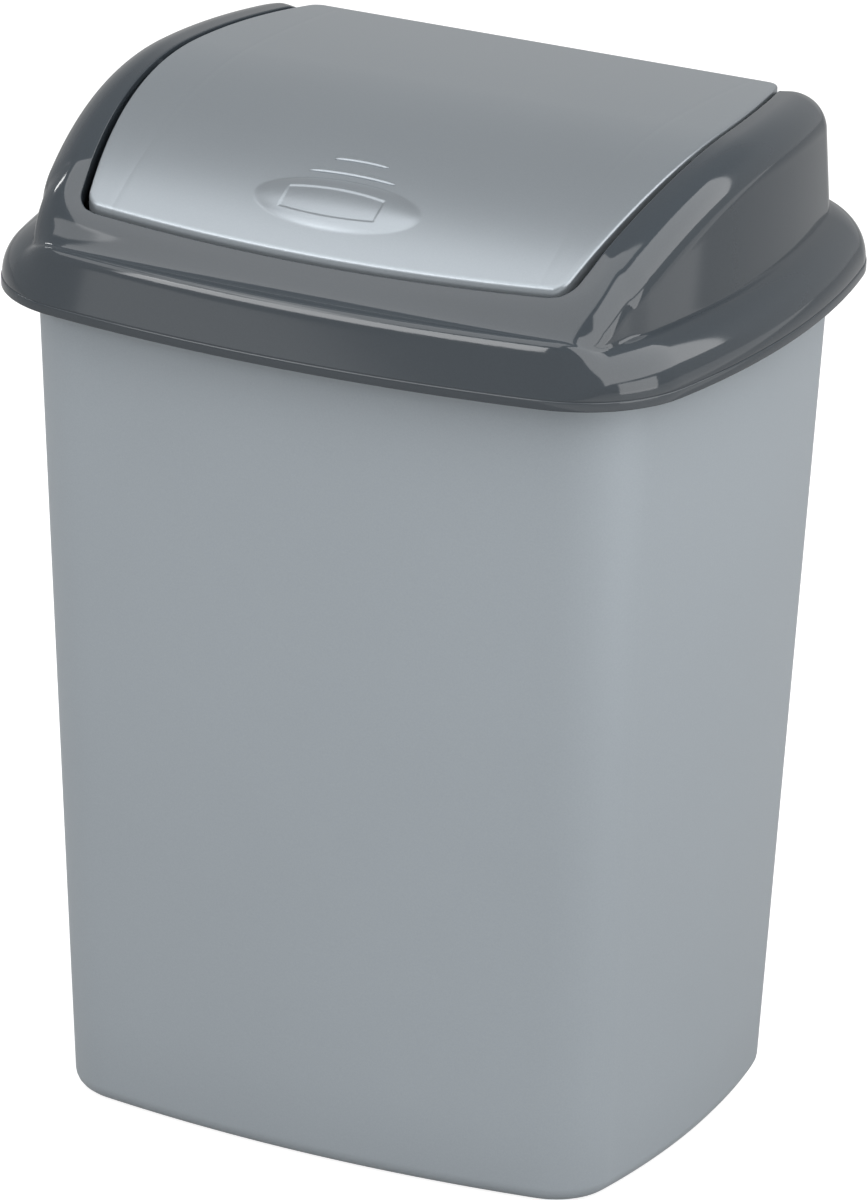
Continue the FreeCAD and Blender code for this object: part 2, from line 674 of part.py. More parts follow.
def hood_stations():
    """Points round the hood's outline with their outward directions, from the front middle anticlockwise."""
    numbers = [size(alias) for alias in OUTLINES["hood"]]
    front, corner, side = bowed_arcs(*numbers)[:3]
    quarter = []
    spans = (
        (front, -math.pi / 2, front[3], FRONT_STEPS),
        (corner, corner[2], corner[3], CORNER_STEPS),
        (side, side[2], 0, SIDE_STEPS),
    )
    for (centre, radius, begin, end), first, last, steps in spans:
        for step in range(steps):
            angle = mixed(first, last, step / steps)
            outward = Vector(math.cos(angle), math.sin(angle), 0)
            quarter.append((centre.add(outward * radius), outward))
    middle = (Vector(numbers[0], 0, 0), Vector(1, 0, 0))

    def flipped(items, across, along):
        return [tuple(Vector(v.x * across, v.y * along, 0) for v in pair) for pair in items]

    right = quarter + [middle] + flipped(reversed(quarter), 1, -1)
    return right + flipped(reversed(right[1:-1]), -1, 1)


def flap_depth(point):
    """How far a point lies inside the flap's outline, with its corners softened."""
    soft = size("skin_overlap_round")
    side_centre = size("flap_half_width") - size("flap_side_radius")
    beside = point.y - size("flap_side_centre_y")
    front_centre = size("flap_front_y") + size("flap_front_radius")
    outside = (
        math.hypot(abs(point.x) - side_centre, beside) - size("flap_side_radius"),
        math.hypot(point.x, point.y - front_centre) - size("flap_front_radius"),
        point.y - size("flap_rear_y"),
    )
    over = [max(reach + soft, 0) for reach in outside]
    return soft - math.sqrt(sum(reach * reach for reach in over))


def skin_end(point, outward):
    """Inset at which the skin has passed well inside the flap opening."""
    low, high = size("dome_inset"), size("hood_corner_radius")
    for halving in range(HALVINGS):
        middle = (low + high) / 2
        if flap_depth(point.sub(outward * middle)) < size("skin_overlap"):
            low = middle
        else:
            high = middle
    return low


def flange_height(inset):
    """Height of the quarter-round flange at an inset from the outline."""
    centre = size("lip_ledge") + size("flange_round")
    across = max(centre - inset, 0)
    foot = size("lip_bottom") + size("lip_height") + size("lip_ledge_rise")
    return foot + math.sqrt(max(size("flange_round") ** 2 - across**2, 0))


def dome_height(inset, point, outward):
    """Height of the arched dome at an inset: a drafted wall, a round shoulder, then the arch.

    The shoulder hangs under the arch as a quarter round. Towards the front the wall moves out under the
    flange, and towards front and rear the arch is lowered to a sill.
    """
    front = smooth_step(FRONT_TURN_SHARES, -outward.y)
    rear = smooth_step(REAR_TURN_SHARES, outward.y)
    shoulder = mixed(size("shoulder_radius"), size("rear_shoulder_radius"), rear)
    slope = math.tan(math.radians(size("dome_draft_degrees")))
    lowered = size("front_sill_drop") * front + size("rear_sill_drop") * rear
    foot = point.sub(outward * size("dome_inset"))
    wall_rise = max(arch_height(foot.y) - lowered - shoulder - flange_height(size("dome_inset")), 0)
    wall = mixed(size("dome_inset") + slope * wall_rise, size("front_wall_inset"), front)
    below = max(wall - inset, 0)
    here = point.sub(outward * max(inset, wall))
    turned = 1 - min(max((inset - wall) / shoulder, 0), 1)
    hang = shoulder * (1 - math.sqrt(1 - turned * turned))
    return arch_height(here.y) - lowered - hang - below / slope


def skin_height(inset, point, outward):
    """Outer height of the hood at an inset, the flange and the dome run together."""
    blend = mixed(size("side_blend"), size("front_blend"), smooth_step(BLEND_TURN_SHARES, -outward.y))
    return smooth_max(flange_height(inset), dome_height(inset, point, outward), blend)


def even_points(points, count):
    """Points at even steps along a line of points."""
    lengths = [0]
    for first, last in zip(points, points[1:]):
        lengths.append(lengths[-1] + math.dist(first, last))
    result = []
    place = 0
    for step in range(count):
        wanted = lengths[-1] * step / (count - 1)
        while place < len(points) - 2 and lengths[place + 1] < wanted:
            place += 1
        share = (wanted - lengths[place]) / (lengths[place + 1] - lengths[place])
        result.append(tuple(mixed(a, b, share) for a, b in zip(points[place], points[place + 1])))
    return result


def offset_points(points, distance):
    """A line of (inset, height) points moved inwards, square to itself."""
    moved = []
    last = len(points) - 1
    for place, (inset, height) in enumerate(points):
        before, after = points[max(place - 1, 0)], points[min(place + 1, last)]
        run = math.dist(before, after)
        moved.append((
            inset + distance * (after[1] - before[1]) / run,
            height - distance * (after[0] - before[0]) / run,
        ))
    return moved


def skin_section(point, outward):
    """The closed section at a station, as strips of (inset, height) points that share their ends."""
    wall = size("hood_wall")
    bottom, seat = size("lip_bottom"), size("rim_top")
    lip_top = bottom + size("lip_height")
    crease = size("dome_inset")
    round_centre = size("lip_ledge") + size("flange_round")
    turn = math.acos((round_centre - crease) / size("flange_round"))
    flange = []
    for step in range(FLANGE_STEPS):
        inset = round_centre - size("flange_round") * math.cos(turn * step / (FLANGE_STEPS - 1))
        flange.append((inset, skin_height(inset, point, outward)))
    end = skin_end(point, outward)
    fine = []
    for step in range(FINE_STEPS + 1):
        inset = mixed(crease, end, step / FINE_STEPS)
        fine.append((inset, skin_height(inset, point, outward)))
    dome = even_points(fine, DOME_STEPS)
    inner_dome = offset_points(dome, wall)
    inner_dome[0] = (crease + wall, inner_dome[0][1] - wall)
    collar_out, collar_in = size("collar_inset"), size("collar_inset") + size("collar_width")
    inner_flange = offset_points(flange, wall)
    inner_flange[0] = (size("lip_ledge") + wall, inner_flange[0][1])
    inner_flange = [spot for spot in inner_flange if spot[0] < collar_out - wall / 2]
    leaning_wall = wall / math.cos(math.radians(size("collar_lean_degrees")))
    collar_root = skin_height(collar_out, point, outward) - leaning_wall
    lip_in = (size("lip_ledge") + wall, bottom)
    return [
        [lip_in, (0, bottom)],
        [(0, bottom), (0, lip_top)],
        [(0, lip_top), flange[0]],
        flange,
        dome,
        [dome[-1], inner_dome[-1]],
        list(reversed(inner_dome)),
        [inner_dome[0], (collar_in, collar_root)],
        [(collar_in, collar_root), (collar_in, seat)],
        [(collar_in, seat), (collar_out, seat)],
        [(collar_out, seat), (collar_out, collar_root)],
        [(collar_out, collar_root), inner_flange[-1]],
        list(reversed(inner_flange)),
        [inner_flange[0], lip_in],
    ]


def skin_face(rows):
    """A face through a net of control points, closed round the hood."""
    around, across = len(rows), len(rows[0])
    degree = min(3, across - 1)
    inner_knots = across - degree - 1
    net = Part.BSplineSurface()
    net.buildFromPolesMultsKnots(
        rows,
        [1] * (around + 1),
        [degree + 1] + [1] * inner_knots + [degree + 1],
        list(range(around + 1)),
        list(range(inner_knots + 2)),
        True,
        False,
        3,
        degree,
    )
    return net.toShape()


def hood_skin():
    """The hood's shell as a closed solid, before its opening is cut."""
    stations = hood_stations()
    sections = [skin_section(point, outward) for point, outward in stations]
    faces = []
    for strip in range(len(sections[0])):
        rows = []
        for (point, outward), section in zip(stations, sections):
            places = [(point.sub(outward * inset), height) for inset, height in section[strip]]
            rows.append([Vector(foot.x, foot.y, height) for foot, height in places])
        faces.append(skin_face(rows))
    shell = Part.makeShell(faces)
    shell.sewShape()
    return Part.makeSolid(shell)


skin = doc.addObject("Part::Feature", "hood_skin")
skin.Shape = hood_skin()

open_skin = doc.addObject("Part::Cut", "open_skin")
open_skin.Base = skin
open_skin.Tool = opening
hood = doc.addObject("Part::Fuse", "hood")
hood.Label = "hood"
hood.Base = open_skin
hood.Tool = returns
doc.recompute()

PIECES = (tub, hood, flap)
for item in doc.Objects:
    if "Invalid" in item.State or "Error" in item.State:
        raise RuntimeError(f"{item.Label} failed: {item.State}")
for piece in PIECES:
    if piece.Shape.isNull() or not piece.Shape.isValid() or len(piece.Shape.Solids) != 1:
        raise RuntimeError(f"{piece.Label} is not one valid solid")
os.makedirs("parts", exist_ok=True)
for piece in PIECES:
    solid = piece.Shape.Solids[0]
    solid.exportStep(f"parts/{piece.Label}.step")
    print(piece.Label, round(solid.Volume), solid.CenterOfMass)
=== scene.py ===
"""A swing-lid kitchen bin: silver tub, dark glossy hood and arched silver flap.

Metres, +Z up, the front at -Y, the floor at height 0.
"""

import math

import bpy
import numpy as np
from mathutils import Matrix, Vector


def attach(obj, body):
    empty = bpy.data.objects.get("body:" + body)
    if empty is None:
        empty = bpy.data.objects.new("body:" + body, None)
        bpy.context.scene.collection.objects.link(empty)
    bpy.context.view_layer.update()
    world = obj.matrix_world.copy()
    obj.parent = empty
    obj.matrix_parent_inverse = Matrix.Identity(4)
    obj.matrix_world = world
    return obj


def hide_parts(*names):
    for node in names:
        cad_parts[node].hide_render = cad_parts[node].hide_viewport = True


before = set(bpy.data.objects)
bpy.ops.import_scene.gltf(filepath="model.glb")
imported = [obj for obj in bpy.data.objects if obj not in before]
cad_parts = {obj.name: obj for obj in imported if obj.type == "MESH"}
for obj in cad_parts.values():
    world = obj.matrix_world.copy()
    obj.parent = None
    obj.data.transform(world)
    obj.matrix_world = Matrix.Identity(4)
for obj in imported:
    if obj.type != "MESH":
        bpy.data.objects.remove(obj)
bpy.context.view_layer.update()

# Which body each node rides on.
BODIES = {"bin_body": "bin", "hood": "lid", "swing_flap": "flap"}

# Outlines: half width, half depth, front bow radius, side bow radius, corner radius.
FRONT_BOW = 0.675
SIDE_BOW = 0.433
HOOD_CORNER = 0.055
HOOD_OUTLINE = np.array([0.16875, 0.1423, FRONT_BOW, SIDE_BOW, HOOD_CORNER])
MOUTH_OUTLINE = np.array([0.1538, 0.1238, FRONT_BOW, SIDE_BOW, 0.036])
FOOT_OUTLINE = np.array([0.1357, 0.1056, FRONT_BOW, SIDE_BOW, 0.029])

# The tub.
RIM_TOP = 0.389
RIM_INSET = 0.0095
RIM_THICKNESS = 0.0022
RIM_HEM_DEPTH = 0.012
RIM_ROUND = 0.001
TUB_WALL = 0.002
TUB_FLOOR = 0.0032
FLOOR_ROUND = 0.005
FOOT_ROUND = 0.0075
FOOT_RING = 0.015
FOOT_RECESS = 0.0012

# The hood's lip and flange. Shares are of the outward direction's lengthwise part.
LIP_BOTTOM = 0.373
LIP_HEIGHT = 0.0042
LIP_LEDGE = 0.0004
LIP_LEDGE_RISE = 0.0006
LIP_ROUND = 0.0005
HOOD_WALL = 0.002
FLANGE_ROUND = 0.021
FLANGE_FOOT = LIP_BOTTOM + LIP_HEIGHT + LIP_LEDGE_RISE
APRON_INSET = 0.0075
APRON_RISE = 0.0220
APRON_SLOPE = 0.02
APRON_BLEND = 0.005
APRON_TURN_SHARES = (0.75, 0.97)

# The hood's dome, and the seat collar under it.
DOME_INSET = 0.0167
DOME_DRAFT = math.radians(4)
SHOULDER_RADIUS = 0.016
REAR_SHOULDER_RADIUS = 0.020
FRONT_WALL_INSET = 0.008
FRONT_SILL_DROP = 0.0012
REAR_SILL_DROP = 0.003
FRONT_BLEND = 0.007
SIDE_BLEND = 0.0006
COLLAR_INSET = 0.0135
COLLAR_WIDTH = 0.0024
COLLAR_ROOT_DROP = HOOD_WALL * 1.15
FRONT_TURN_SHARES = (0.45, 0.98)
REAR_TURN_SHARES = (0.5, 0.98)
BLEND_TURN_SHARES = (0.25, 0.95)
SHARP_DEGREES = 30
HOOD_SHARP_DEGREES = 45

# The arch that the flap and the hood share.
CROWN_Y = 0.013
CROWN_Z = 0.4538
ARCH_FRONT_RADIUS = 0.210
ARCH_REAR_RADIUS = 0.800

# The flap, and the return wall round its opening.
FLAP_HALF_WIDTH = 0.126
FLAP_SIDE_RADIUS = 0.400
FLAP_SIDE_CENTRE_Y = -0.005
FLAP_FRONT_Y = -0.111
FLAP_FRONT_RADIUS = 1.300
FLAP_REAR_Y = 0.100
FLAP_CORNER = 0.005
FLAP_GAP = 0.0024
FLAP_WALL = 0.002
FLAP_HEM = 0.0055
FLAP_EDGE_ROUND = 0.0012
RETURN_DEPTH = 0.008
RETURN_WALL = 0.0018
RETURN_LEAST_DEPTH = HOOD_WALL * 2
OPENING_ROUND = 0.0005

# The push pad, its bare plate, and the accents: left end, right end, middle place and fall.
PUSH_CENTRE = (-0.003, -0.0875)
PUSH_RADII = (0.0422, 0.0150, 0.0046)
PUSH_SINK = 0.002
PUSH_SOFTNESS = 0.0004
PLATE_SHIFT = (-0.0018, -0.0008)
PLATE_HALF = (0.0223, 0.0058)
PLATE_BOW = 0.0018
PLATE_SINK = 0.0004
PLATE_RAMP = 0.0009
ACCENTS = {
    "lower": (-0.0243, 0.0166, -0.0709, 0.0013),
    "upper": (-0.0167, 0.0087, -0.0626, 0.0008),
}
ACCENT_RADIUS = 0.0010
ACCENT_FLATNESS = 0.9
ACCENT_END_SHARE = 1.02
ACCENT_END_POWER = 8

# The pivot, its ears and pins, and the flap's ribs with the faint sink lines over them.
PIVOT_Y = -0.00778
PIVOT_Z = 0.4462
PIN_RADIUS = 0.0035
PIN_CLEARANCE = 0.0001
EAR_RADIUS = 0.008
EAR_THICKNESS = 0.003
EAR_INSET = 0.0002
EAR_TOP_DROP = 0.0032
RIB_X = 0.100
RIB_WIDTH = 0.0016
RIB_DEPTH = 0.007
RIB_ENDS = (-0.095, 0.088)
SINK_WIDTH = 0.0022
SINK_DEPTH = 0.00006
SINK_SOFTNESS = 0.6

# Steps of the grids. The flap's are denser round the push pad: a focus range, and a coarse and fine pitch.
FRONT_STEPS = 24
CORNER_STEPS = 64
SIDE_STEPS = 20
FINE_STEPS = 400
DOME_STEPS = 72
INNER_STEPS = 36
FLANGE_STEPS = 40
HALVINGS = 40
INSIDE_FLANGE_STEPS = 20
ROUND_STEPS = 7
LIP_ROUND_STEPS = 4
WALL_STEPS = 12
ACCENT_STEPS = 61
ACCENT_SIDES = 14
EAR_STEPS = 25
PIN_SIDES = 40
RIB_STEPS = 60
FLAP_ROWS = ((0.016, 0.176), 0.0147, 0.0022)
FLAP_COLUMNS = ((-0.37, 0.33), 0.024, 0.0037)

# Looks. A noise is its scale and detail; pigment and gloss are settings of the nodes they name.
WHITE = (1, 1, 1, 1)
FLAKE_NOISE = (1400, 1)
DRIFT_NOISE = (9, 3)
GRAIN_NOISE = (420, 2)
NOISE_MIDDLE = 0.5
TUB_SILVER = (0.292, 0.324, 0.351)
TUB_PIGMENT = {"Flake": 0.10, "Drift": 0.05, "Roughness": 0.42}
TUB_GLOSS = {"Metallic": 0.25}
TUB_GRAIN = 0.00001
FLAP_SILVER = (0.238, 0.262, 0.283)
FLAP_PIGMENT = {"Flake": 0.08, "Drift": 0.05, "Roughness": 0.31}
FLAP_GLOSS = {"Metallic": 0.6}
FLAP_GRAIN = 0.000006
SLATE = (0.031, 0.038, 0.045)
SLATE_PIGMENT = {"Flake": 0.15, "Drift": 0.04, "Roughness": 0.08}
SLATE_GLOSS = {"Specular IOR Level": 0.5}
SLATE_GRAIN = 0.000002

# The camera, at the photograph's angle.
CAMERA_TARGET = Vector((0, 0, 0.235))
CAMERA_AZIMUTH = math.radians(26.66)
CAMERA_ELEVATION = math.radians(20.83)
CAMERA_ROLL = math.radians(1.33)
CAMERA_DISTANCE = 3.7624
CAMERA_LENS = 261.1
CAMERA_SHIFT = (0.0041, -0.0205)
CAMERA_REACH = 100

# The studio. The sky's fade is from low to high, then the strengths there. A mirrored share is how much of
# the white a glossy surface shows; on the floor it rises to all of it past a slanted line on the right.
WORLD_FILL = 0.42
SKY_FADE = (0.30, 0.72, 1.0, 0.2)
MIRRORED_SHARE = 0.25
FLOOR_REACH = 6.0
FLOOR_GREY = (0.32, 0.32, 0.32, 1)
FLOOR_ROUGHNESS = 0.7
FLOOR_SPECULAR = 0.2
FLOOR_GLOW = 0.85
BRIGHT_FLOOR_SLANT = 0.35
BRIGHT_FLOOR_EDGE = (0.77, 0.85)

# Soft boxes: place, target, width, height and power.
LAMPS = {
    "overhead_box": ((-0.45, -0.98, 2.1), (-0.45, -0.98, 0.0), 1.7, 2.3, 27),
    "right_box": ((1.05, -0.02, 1.5), (0.0, -0.02, 0.95), 2.65, 1.5, 37),
    "front_fill": ((-0.95, -2.2, 1.6), (0, -0.05, 0.35), 1.8, 0.65, 22),
    "front_low": ((-1.1, -2.5, 0.55), (0, -0.1, 0.3), 2.0, 0.9, 5),
    "corner_fill": ((2.35, -0.45, 0.54), (0.1, -0.1, 0.25), 1.5, 0.95, 13),
    "overhead_front": ((-1.7, -1.6, 2.05), (-1.7, -1.6, 0.0), 1.6, 1.4, 14),
    "left_strip": ((-1.6, 0.15, 1.5), (-0.13, -0.1, 0.42), 0.09, 0.5, 2),
}


def arch_radius(y):
    """Radius of the arched top: one arc in front of the crown and a flatter one behind it."""
    return np.where(y < CROWN_Y, ARCH_FRONT_RADIUS, ARCH_REAR_RADIUS)


def arch_height(y, drop=0.0):
    """Height of the arched top: two arcs that meet at the crown, each drawn in by the drop."""
    radius = arch_radius(y)
    return CROWN_Z - radius + np.sqrt((radius - drop) ** 2 - (y - CROWN_Y) ** 2)


def smooth_step(limits, value):
    """A share that rises from 0 to 1 between two limits as 3t squared less 2t cubed."""
    low, high = limits
    share = np.clip((value - low) / (high - low), 0, 1)
    return share * share * (3 - 2 * share)


def smooth_max(first, last, blend):
    """The higher of two values, rounded by a parabola where they differ by less than the blend."""
    return np.maximum(first, last) + np.maximum(blend - np.abs(first - last), 0) ** 2 / (4 * blend)


def bowed_loop(outlines):
    """Closed loops of plan points and outward directions for rows of outline sizes.

    A row holds half width, half depth, front bow radius, side bow radius and corner radius. The corner
    arc's centre is where circles of (bow radius - corner radius) round both bow centres cross. A quarter
    runs along the front bow, the corner and the side bow, and the rest of the loop mirrors it.
    """
    half_width, half_depth, front, side, corner = np.atleast_2d(outlines).T[:, :, None]
    front_y = front - half_depth
    side_x = half_width - side
    span = np.hypot(side_x, front_y)
    foot = ((front - corner) ** 2 - (side - corner) ** 2 + span**2) / (2 * span)
    rise = np.sqrt((front - corner) ** 2 - foot**2)
    along_x, along_y = side_x / span, -front_y / span
    corner_x = along_x * foot - along_y * rise
    corner_y = front_y + along_y * foot + along_x * rise
    front_end = np.arctan2(corner_y - front_y, corner_x)
    side_start = np.arctan2(corner_y, corner_x - side_x)
    front_share, corner_share, side_share = (
        np.arange(steps) / steps for steps in (FRONT_STEPS, CORNER_STEPS, SIDE_STEPS))
    zero = 0 * half_width
    turn = np.concatenate([
        -math.pi / 2 + (front_end + math.pi / 2) * front_share,
        front_end + (side_start - front_end) * corner_share,
        side_start * (1 - side_share),
        zero,
    ], axis=1)
    counts = (FRONT_STEPS, CORNER_STEPS, SIDE_STEPS + 1)
    centre_x = np.repeat(np.concatenate([zero, corner_x, side_x], axis=1), counts, axis=1)
    centre_y = np.repeat(np.concatenate([front_y, corner_y, zero], axis=1), counts, axis=1)
    radius = np.repeat(np.concatenate([front, corner, side], axis=1), counts, axis=1)
    out = np.stack([np.cos(turn), np.sin(turn)], axis=-1)
    quarter = np.stack([centre_x, centre_y], axis=-1) + radius[..., None] * out

    def whole(part):
        right = np.concatenate([part, part[:, -2::-1] * (1, -1)], axis=1)
        return np.concatenate([right, right[:, -2:0:-1] * (-1, 1)], axis=1)

    return whole(quarter), whole(out)


def grid_faces(rows, columns, close_rows=False, close_columns=False, first=0):
    """Quads of a grid of vertices numbered row by row, joined end to end where it is closed."""
    row = np.arange(rows if close_rows else rows - 1)[:, None]
    column = np.arange(columns if close_columns else columns - 1)[None, :]
    after_row, after_column = (row + 1) % rows, (column + 1) % columns
    corners = [row * columns + column, row * columns + after_column,
               after_row * columns + after_column, after_row * columns + column]
    return first + np.stack([np.broadcast_to(c, (row.size, column.size)) for c in corners], -1).reshape(-1, 4)


def capped_faces(rows, columns):
    """Quads of a tube of rows of vertices, with a flat cap on its first and last row."""
    faces = grid_faces(rows, columns, close_columns=True).tolist()
    faces.append(range(columns - 1, -1, -1))
    faces.append(range((rows - 1) * columns, rows * columns))
    return faces


def make_piece(name, node, material, points, faces, sharp_degrees=SHARP_DEGREES):
    """A mesh object with outward faces, smooth but for sharp edges, that stands for a node on its body."""
    mesh = bpy.data.meshes.new(name)
    mesh.from_pydata(np.asarray(points).reshape(-1, 3).tolist(), [], [list(map(int, face)) for face in faces])
    mesh.validate()
    mesh.shade_smooth()
    mesh.set_sharp_from_angle(angle=math.radians(sharp_degrees))
    mesh.materials.append(material)
    piece = bpy.data.objects.new(name, mesh)
    bpy.context.scene.collection.objects.link(piece)
    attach(piece, BODIES[node])
    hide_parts(node)


def arc_points(centre, radius, first, last, steps=ROUND_STEPS):
    """Points of a profile arc as (inset, height), from a first to a last angle in degrees."""
    turn = np.radians(np.linspace(first, last, steps))
    return np.stack([centre[0] + radius * np.cos(turn), centre[1] + radius * np.sin(turn)], axis=-1)


def tub_rings():
    """The tub's section as rows of (five outline sizes, height), from under the foot round to its floor.

    On the tub's own wall an outline is the foot's and the mouth's mixed by height, drawn in by an inset. On
    the rim it is the hood's outline drawn in by an inset.
    """
    rings = []

    def wall(spots):
        for inset, height in spots:
            sizes = FOOT_OUTLINE + (MOUTH_OUTLINE - FOOT_OUTLINE) * height / RIM_TOP - inset
            rings.append(np.append(sizes, height))

    def rim(spots):
        for inset, height in spots:
            rings.append(np.append(HOOD_OUTLINE - inset, height))

    hem_bottom = RIM_TOP - RIM_HEM_DEPTH
    plate_under = RIM_TOP - RIM_THICKNESS
    wall([(FOOT_RING, FOOT_RECESS), (FOOT_RING, 0), (FOOT_RING - RIM_ROUND, 0)])
    wall(arc_points((FOOT_ROUND, FOOT_ROUND), FOOT_ROUND, 270, 180))
    wall([(0, z) for z in np.linspace(FOOT_ROUND, plate_under, WALL_STEPS)[1:]])
    rim([(RIM_INSET + TUB_WALL, plate_under), (RIM_INSET + TUB_WALL, hem_bottom), (RIM_INSET, hem_bottom)])
    rim(arc_points((RIM_INSET + RIM_ROUND, RIM_TOP - RIM_ROUND), RIM_ROUND, 180, 90))
    wall(arc_points((TUB_WALL - RIM_ROUND, RIM_TOP - RIM_ROUND), RIM_ROUND, 90, 0))
    wall([(TUB_WALL, z) for z in np.linspace(RIM_TOP - RIM_ROUND, TUB_FLOOR + FLOOR_ROUND, WALL_STEPS)[1:]])
    wall(arc_points((TUB_WALL + FLOOR_ROUND, TUB_FLOOR + FLOOR_ROUND), FLOOR_ROUND, 180, 270)[1:])
    return np.array(rings)


def make_tub(material):
    """The tub: its section carried round the bowed outline, with flat caps on floor and underside."""
    rings = tub_rings()
    plan, _ = bowed_loop(rings[:, :5])
    count, around = plan.shape[:2]
    heights = np.broadcast_to(rings[:, 5, None, None], (count, around, 1))
    points = np.concatenate([plan, heights], axis=-1)
    make_piece("bin_tub", "bin_body", material, points, capped_faces(count, around))


def round_height(inset):
    """Height of the flange's quarter-round over an inset."""
    across = np.maximum(LIP_LEDGE + FLANGE_ROUND - inset, 0)
    return FLANGE_FOOT + np.sqrt(np.maximum(FLANGE_ROUND**2 - across**2, 0))


def apron_height(inset):
    """Height of the front apron: a steep straight face and a gentle slope, the lower of the two, rounded."""
    face = FLANGE_FOOT + APRON_RISE * (inset - LIP_LEDGE) / (APRON_INSET - LIP_LEDGE)
    slope = FLANGE_FOOT + APRON_RISE + APRON_SLOPE * (inset - APRON_INSET)
    return -smooth_max(-face, -slope, APRON_BLEND)


def flange_height(inset, out):
    """Height of the flange at each station: the quarter-round, mixed into the apron towards the front."""
    share = smooth_step(APRON_TURN_SHARES, -out[..., 1:2])
    return round_height(inset) * (1 - share) + apron_height(inset) * share


def dome_height(inset, plan, out):
    """Height of the hood's dome over an inset at each station.

    It is a drafted wall, a quarter-round shoulder that hangs under the arch, then the arch. Towards the
    front the wall moves out under the flange, and towards front and rear the arch sinks to a sill.
    """
    y, out_y = plan[..., 1:2], out[..., 1:2]
    front = smooth_step(FRONT_TURN_SHARES, -out_y)
    rear = smooth_step(REAR_TURN_SHARES, out_y)
    shoulder = SHOULDER_RADIUS + (REAR_SHOULDER_RADIUS - SHOULDER_RADIUS) * rear
    slope = math.tan(DOME_DRAFT)
    lowered = FRONT_SILL_DROP * front + REAR_SILL_DROP * rear
    foot_y = y - out_y * DOME_INSET
    rise = np.maximum(arch_height(foot_y) - lowered - shoulder - round_height(np.float64(DOME_INSET)), 0)
    side_wall = DOME_INSET + slope * rise
    wall = side_wall + (FRONT_WALL_INSET - side_wall) * front
    turned = 1 - np.clip((inset - wall) / shoulder, 0, 1)
    hang = shoulder * (1 - np.sqrt(1 - turned * turned))
    here = y - out_y * np.maximum(inset, wall)
    return arch_height(here) - lowered - hang - np.maximum(wall - inset, 0) / slope


def skin_height(inset, plan, out):
    """Outer height of the hood: the higher of dome and flange, rounded together most at the front."""
    blend = SIDE_BLEND + (FRONT_BLEND - SIDE_BLEND) * smooth_step(BLEND_TURN_SHARES, -out[..., 1:2])
    return smooth_max(flange_height(inset, out), dome_height(inset, plan, out), blend)


def halve(low, high, is_before):
    """The places between low and high where a test turns from true to false, by halving."""
    for _ in range(HALVINGS):
        middle = (low + high) / 2
        before = is_before(middle)
        low, high = np.where(before, middle, low), np.where(before, high, middle)
    return low


def crease_inset(plan, out):
    """Inset at which each station's dome rises out of the flange, at most that of the sides."""
    one = np.ones((plan.shape[0], 1))
    return halve(LIP_LEDGE * one, DOME_INSET * one,
                 lambda inset: dome_height(inset, plan, out) < flange_height(inset, out))


def outside_opening(plan):
    """Distance of plan points outside the flap's opening.

    It has a bowed front and sides, a straight rear and round corners.
    """
    x, y = np.abs(plan[..., 0]), plan[..., 1]
    corner = FLAP_CORNER + FLAP_GAP
    reaches = np.stack([
        np.hypot(x - FLAP_HALF_WIDTH + FLAP_SIDE_RADIUS, y - FLAP_SIDE_CENTRE_Y) - FLAP_SIDE_RADIUS,
        np.hypot(x, y - FLAP_FRONT_Y - FLAP_FRONT_RADIUS) - FLAP_FRONT_RADIUS,
        y - FLAP_REAR_Y,
    ]) - FLAP_GAP
    over = np.maximum(reaches + corner, 0)
    inside = np.minimum(reaches.max(axis=0) + corner, 0)
    return np.sqrt((over**2).sum(axis=0)) + inside - corner


def opening_inset(plan, out):
    """Inset at which each station's line meets the opening's edge."""
    one = np.ones((plan.shape[0], 1))
    return halve(DOME_INSET * one, HOOD_CORNER * one,
                 lambda inset: outside_opening(plan - out * inset)[:, None] > 0)


def even_curve(inset, height, steps):
    """Rows of curve points spread evenly along each curve's own length.

    Each row's length runs from 0 to 1, rows are laid end to end, and one interpolation serves them all.
    """
    run = np.hypot(np.diff(inset, axis=1), np.diff(height, axis=1))
    length = np.concatenate([np.zeros((len(run), 1)), np.cumsum(run, axis=1)], axis=1)
    rows = np.arange(len(run))[:, None]
    place = rows * 2 + length / length[:, -1:]
    wanted = rows * 2 + np.linspace(0, 1, steps)
    return [np.interp(wanted.ravel(), place.ravel(), line.ravel()).reshape(wanted.shape)
            for line in (inset, height)]


def offset_curve(inset, height, distance):
    """Rows of curve points moved inside the skin, square to each curve."""
    run_in, run_up = np.gradient(inset, axis=1), np.gradient(height, axis=1)
    length = np.hypot(run_in, run_up)
    return inset + distance * run_up / length, height - distance * run_in / length


def dome_curve(plan, out, start, end, steps):
    """The dome from a start to an end inset at each station, in even steps."""
    inset = start + (end - start) * np.linspace(0, 1, FINE_STEPS)
    return even_curve(inset, skin_height(inset, plan, out), steps)


